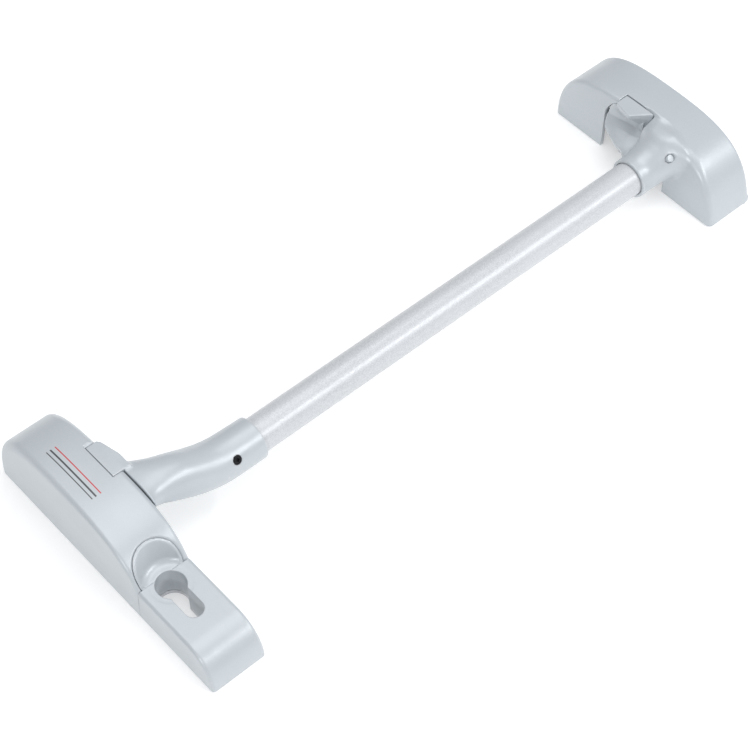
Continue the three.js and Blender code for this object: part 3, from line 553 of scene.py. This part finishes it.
# ---- materials ----
class Paint:
    """A small helper that builds one node material."""

    def __init__(self, name):
        self.material = bpy.data.materials.new(name)
        self.material.use_nodes = True
        self.tree = self.material.node_tree
        self.shader = self.tree.nodes["Principled BSDF"]
        self.place = self.node("ShaderNodeTexCoord").outputs["Object"]

    def node(self, kind, inputs=(), **settings):
        made = self.tree.nodes.new(kind)
        for key, value in settings.items():
            setattr(made, key, value)
        for key, value in dict(inputs).items():
            if isinstance(value, bpy.types.NodeSocket):
                self.tree.links.new(value, made.inputs[key])
            else:
                made.inputs[key].default_value = value
        return made

    def noise(self, scale, detail=3.0, stretch=None):
        place = self.place
        if stretch:
            place = self.node("ShaderNodeMapping", {"Vector": place, "Scale": stretch}).outputs["Vector"]
        inputs = {"Vector": place, "Scale": scale, "Detail": detail, "Roughness": 0.55}
        return self.node("ShaderNodeTexNoise", inputs).outputs["Fac"]

    def span(self, value, low, high, to_low, to_high):
        inputs = {"Value": value, "From Min": low, "From Max": high, "To Min": to_low, "To Max": to_high}
        return self.node("ShaderNodeMapRange", inputs).outputs["Result"]

    def maths(self, operation, a, b):
        return self.node("ShaderNodeMath", {0: a, 1: b}, operation=operation).outputs["Value"]

    def mix(self, share, a, b, blend="MIX"):
        made = self.node("ShaderNodeMix", data_type="RGBA", blend_type=blend)
        for index, value in ((0, share), (6, a), (7, b)):
            if isinstance(value, bpy.types.NodeSocket):
                self.tree.links.new(value, made.inputs[index])
            else:
                made.inputs[index].default_value = value
        return made.outputs[2]

    def wire(self, socket, value):
        self.tree.links.new(value, self.shader.inputs[socket])

    def bump(self, *layers):
        """Each layer is a height socket and the depth in metres that its full range stands for."""
        normal = None
        for height, depth in layers:
            inputs = {"Height": height, "Distance": depth, "Strength": 1.0}
            if normal:
                inputs["Normal"] = normal
            normal = self.node("ShaderNodeBump", inputs).outputs["Normal"]
        self.wire("Normal", normal)

    def worn_edges(self, low, high):
        point = self.node("ShaderNodeNewGeometry").outputs["Pointiness"]
        return self.span(point, low, high, 0.0, 1.0)


def stripe(paint, across, along, x, width, y0, y1):
    """A painted line along Y, in metres: 1 on it, 0 off it."""
    off = paint.maths("ABSOLUTE", paint.maths("SUBTRACT", across, x), 0.0)
    inside = paint.span(off, width / 2, width / 2 + 0.00012, 1.0, 0.0)
    begun = paint.span(along, y0, y0 + 0.0003, 0.0, 1.0)
    ended = paint.span(along, y1, y1 + 0.0003, 1.0, 0.0)
    return paint.maths("MULTIPLY", paint.maths("MULTIPLY", inside, begun), ended)


CAST_BASE = (0.545, 0.585, 0.615, 1)
CAST_DARK = (0.500, 0.543, 0.575, 1)
CAST_PALE = (0.640, 0.672, 0.694, 1)
CAST_RUBBED = (0.74, 0.76, 0.775, 1)


def casting_paint(name, stripes=()):
    """Satin pale paint with a fine pearl grain, faint clouding, and paler rubbed edges."""
    p = Paint(name)
    cloud = p.span(p.noise(14, 4), 0.35, 0.65, 0.0, 1.0)
    grain = p.span(p.noise(2600, 2), 0.3, 0.7, 0.0, 1.0)
    colour = p.mix(cloud, CAST_BASE, CAST_DARK)
    colour = p.mix(p.maths("MULTIPLY", grain, 0.30), colour, CAST_PALE)
    rubbed = p.maths("MULTIPLY", p.worn_edges(0.53, 0.60), p.span(p.noise(120, 5), 0.4, 0.62, 0.0, 0.75))
    colour = p.mix(rubbed, colour, CAST_RUBBED)
    split = p.node("ShaderNodeSeparateXYZ", {"Vector": p.place})
    for paint_colour, x, width, y0, y1 in stripes:
        on = stripe(p, split.outputs["X"], split.outputs["Y"], x, width, y0, y1)
        high = p.span(split.outputs["Z"], 0.040, 0.0405, 0.0, 0.92)
        colour = p.mix(p.maths("MULTIPLY", on, high), colour, paint_colour)
    p.wire("Base Color", colour)
    smear = p.span(p.noise(55, 5, (1, 0.35, 1)), 0.3, 0.7, 0.30, 0.40)
    p.wire("Roughness", p.mix(p.maths("MULTIPLY", grain, 0.25), smear, (0.46, 0.46, 0.46, 1)))
    p.bump((p.noise(420, 3), 0.00007), (p.noise(2600, 2), 0.000012))
    p.shader.inputs["Metallic"].default_value = 0.12
    p.shader.inputs["Coat Weight"].default_value = 0.2
    p.shader.inputs["Coat Roughness"].default_value = 0.22
    return p.material


def tube_lacquer():
    """Silver lacquer with a fine metallic sparkle and faint lengthwise polishing."""
    p = Paint("tube_lacquer")
    flake = p.node("ShaderNodeTexVoronoi", {"Vector": p.place, "Scale": 3200.0}).outputs["Color"]
    bright = p.node("ShaderNodeSeparateColor", {"Color": flake}).outputs["Red"]
    streak = p.noise(900, 3, (0.02, 1, 1))
    colour = p.mix(p.span(bright, 0.2, 1.0, 0.0, 1.0), (0.53, 0.545, 0.565, 1), (0.72, 0.735, 0.755, 1))
    colour = p.mix(p.span(p.noise(20, 3), 0.35, 0.65, 0.0, 0.35), colour, (0.66, 0.68, 0.71, 1))
    p.wire("Base Color", colour)
    p.wire("Roughness", p.span(streak, 0.3, 0.7, 0.32, 0.42))
    p.bump((p.noise(3200, 1), 0.00001), (streak, 0.000012))
    p.shader.inputs["Metallic"].default_value = 0.12
    p.shader.inputs["Specular IOR Level"].default_value = 0.35
    p.shader.inputs["Coat Weight"].default_value = 0.14
    p.shader.inputs["Coat Roughness"].default_value = 0.16
    return p.material


def zinc_plate():
    """Zinc-plated steel: a fine crystalline mottle, bright scuffs and drawn lines."""
    p = Paint("zinc_plate")
    cell = p.node("ShaderNodeTexVoronoi", {"Vector": p.place, "Scale": 420.0}).outputs["Color"]
    tone = p.node("ShaderNodeSeparateColor", {"Color": cell}).outputs["Green"]
    colour = p.mix(p.span(tone, 0, 1, 0.0, 0.5), (0.50, 0.51, 0.53, 1), (0.66, 0.67, 0.70, 1))
    scuff = p.span(p.noise(260, 5, (1, 0.12, 1)), 0.52, 0.68, 0.0, 0.6)
    p.wire("Base Color", p.mix(scuff, colour, (0.80, 0.80, 0.82, 1)))
    p.wire("Roughness", p.span(p.noise(300, 4, (1, 0.2, 1)), 0.3, 0.7, 0.26, 0.46))
    p.bump((p.noise(1500, 3, (1, 0.1, 1)), 0.00002))
    p.shader.inputs["Metallic"].default_value = 0.95
    return p.material


def black_oxide():
    """Blackened steel, greyer where it is worn."""
    p = Paint("black_oxide")
    cloud = p.span(p.noise(900, 4), 0.35, 0.7, 0.0, 1.0)
    colour = p.mix(cloud, (0.010, 0.010, 0.011, 1), (0.035, 0.036, 0.040, 1))
    p.wire("Base Color", p.mix(p.worn_edges(0.55, 0.7), colour, (0.10, 0.10, 0.11, 1)))
    p.wire("Roughness", p.span(p.noise(1500, 3), 0.3, 0.7, 0.30, 0.50))
    p.bump((p.noise(2400, 2), 0.00002))
    p.shader.inputs["Metallic"].default_value = 0.7
    return p.material


def moulded_rubber():
    """Matt black rubber with a fine mould texture."""
    p = Paint("moulded_rubber")
    cloud = p.span(p.noise(300, 5), 0.35, 0.7, 0.0, 1.0)
    colour = p.mix(cloud, (0.020, 0.021, 0.022, 1), (0.042, 0.043, 0.045, 1))
    p.wire("Base Color", colour)
    p.wire("Roughness", p.span(p.noise(700, 3), 0.3, 0.7, 0.72, 0.92))
    p.bump((p.noise(1800, 3), 0.00005))
    return p.material


# ---- the pieces ----
RED_LINE, DARK_LINE = (0.62, 0.035, 0.045, 1), (0.035, 0.037, 0.042, 1)
STRIPES = [  # colour, X, width, first and last Y, in metres
    (RED_LINE, -0.2204, 0.0006, 0.016, 0.058),
    (DARK_LINE, -0.2236, 0.0009, 0.016, 0.058),
    (DARK_LINE, -0.2262, 0.0005, 0.016, 0.058),
]
PLAIN_PAINT = casting_paint("casting_paint")
STRIPED_PAINT = casting_paint("casting_paint_striped", STRIPES)
FINISHES = {
    "tube_metal": tube_lacquer(),
    "zinc_steel": zinc_plate(),
    "black_steel": black_oxide(),
    "rubber": moulded_rubber(),
}

SLOTS = {part["node"]: part["material_slot"] for part in frame["record"]["subparts"]}
SKINS = [  # piece, field, CAD node, body, material, step
    ("cover_casting", lock_cover, "lock_cover", "root", STRIPED_PAINT, STEP),
    ("block_casting", cylinder_block, "cylinder_block", "root", PLAIN_PAINT, 0.8 * STEP),
    ("arm_casting", lock_arm, "lock_arm", "swing_bar", PLAIN_PAINT, STEP),
    ("head_casting", swing_head, "swing_head", "swing_bar", PLAIN_PAINT, STEP),
    ("tongue_casting", head_tongue, "head_tongue", "root", PLAIN_PAINT, STEP),
    ("socket_set_screw", grub_screw, "arm_grub_screw", "swing_bar", FINISHES["black_steel"], 0.12),
    ("neck_pin", cross_pin, "head_cross_pin", "swing_bar", PLAIN_PAINT, 0.2),
]


def finish_piece(piece, node, body, material):
    piece.data.materials.append(material)
    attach(piece, body)
    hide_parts(node)


for name, field, node, body, material, step in SKINS:
    low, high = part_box(node)
    made = cast_piece(name, field, [v / MM - MARGIN for v in low], [v / MM + MARGIN for v in high], step)
    finish_piece(made, node, body, material)


def turned_tube():
    """The tube, with its wall and slightly broken edges, as one closed skin."""
    low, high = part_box("bar_tube")
    start, end = low.x / MM, high.x / MM
    inner, rings = TUBE_R - TUBE_WALL, 60
    profile = [(start + 0.4 + (end - start - 0.8) * t / rings, TUBE_R) for t in range(rings + 1)]
    profile += [(end, TUBE_R - 0.4), (end, inner + 0.3), (end - 0.3, inner)]
    profile += [(start + 0.3, inner), (start, inner + 0.3), (start, TUBE_R - 0.4)]
    sides = 128
    vertices, faces = [], []
    for x, r in profile:
        for s in range(sides):
            a = 2 * math.pi * s / sides
            vertices.append((x * MM, (TUBE_Y + r * math.cos(a)) * MM, (TUBE_Z + r * math.sin(a)) * MM))
    rows = len(profile)
    for i in range(rows):
        for s in range(sides):
            t = (s + 1) % sides
            a, b = i * sides, (i + 1) % rows * sides
            faces.append((a + s, a + t, b + t, b + s))
    mesh = bpy.data.meshes.new("silver_tube")
    mesh.from_pydata(vertices, [], faces)
    mesh.shade_smooth()
    mesh.set_sharp_from_angle(angle=math.radians(30))
    piece = bpy.data.objects.new("silver_tube", mesh)
    bpy.context.scene.collection.objects.link(piece)
    return piece


finish_piece(turned_tube(), "bar_tube", "swing_bar", FINISHES["tube_metal"])

# The CAD nodes that are shown as they are.
for name, slot in SLOTS.items():
    node = frame["nodes"][name]
    if node.hide_render:
        continue
    finish = FINISHES.get(slot, PLAIN_PAINT)
    for index in range(len(node.material_slots)):
        node.material_slots[index].material = finish
    if not node.material_slots:
        node.data.materials.append(finish)


# ---- floor, light, camera ----
def floor():
    mesh = bpy.data.meshes.new("floor")
    size = 6.0
    corners = [(-size, -size, 0), (size, -size, 0), (size, size, 0), (-size, size, 0)]
    mesh.from_pydata(corners, [], [(0, 1, 2, 3)])
    made = bpy.data.objects.new("floor", mesh)
    made.location.z = -0.0004
    bpy.context.scene.collection.objects.link(made)
    p = Paint("floor_paper")
    cloud = p.span(p.noise(3, 3), 0.3, 0.7, 0.0, 1.0)
    p.wire("Base Color", p.mix(cloud, (0.76, 0.76, 0.76, 1), (0.73, 0.73, 0.73, 1)))
    p.shader.inputs["Roughness"].default_value = 0.9
    p.shader.inputs["Emission Color"].default_value = (1, 1, 1, 1)
    p.shader.inputs["Emission Strength"].default_value = 0.42
    mesh.materials.append(p.material)


def softbox(name, place, target, size, power):
    """A rectangular lamp at place that faces target."""
    light = bpy.data.lights.new(name, "AREA")
    light.shape = "RECTANGLE"
    light.size, light.size_y = size
    light.energy = power
    made = bpy.data.objects.new(name, light)
    made.location = place
    made.rotation_euler = (Vector(target) - Vector(place)).to_track_quat("-Z", "Y").to_euler()
    bpy.context.scene.collection.objects.link(made)


def camera():
    data = bpy.data.cameras.new("camera")
    data.sensor_width = 36.0
    data.lens = 99.46
    data.clip_end = 50
    made = bpy.data.objects.new("camera", data)
    right = Vector((0.74923, -0.66230, 0.00363))
    up = Vector((0.52063, 0.59233, 0.61489))
    back = right.cross(up)
    turn = Matrix((right, up, back)).transposed().to_4x4()
    made.matrix_world = Matrix.Translation((-0.5322, -0.5534, 0.9630)) @ turn
    bpy.context.scene.collection.objects.link(made)
    bpy.context.scene.camera = made


floor()
world = bpy.data.worlds.new("studio")
world.use_nodes = True
world.node_tree.nodes["Background"].inputs["Color"].default_value = (0.95, 0.97, 1.0, 1)
world.node_tree.nodes["Background"].inputs["Strength"].default_value = 0.42
bpy.context.scene.world = world
bpy.context.scene.view_settings.view_transform = "Standard"
softbox("key_right", (0.78, -1.16, 1.18), (0, 0, 0.02), (1.1, 0.5), 12)
softbox("top_soft", (0.1, 0.2, 1.9), (0, 0, 0), (1.6, 1.6), 17)
softbox("edge_left", (-1.55, -0.92, 0.95), (-0.05, 0, 0.02), (0.14, 0.14), 6)
camera()
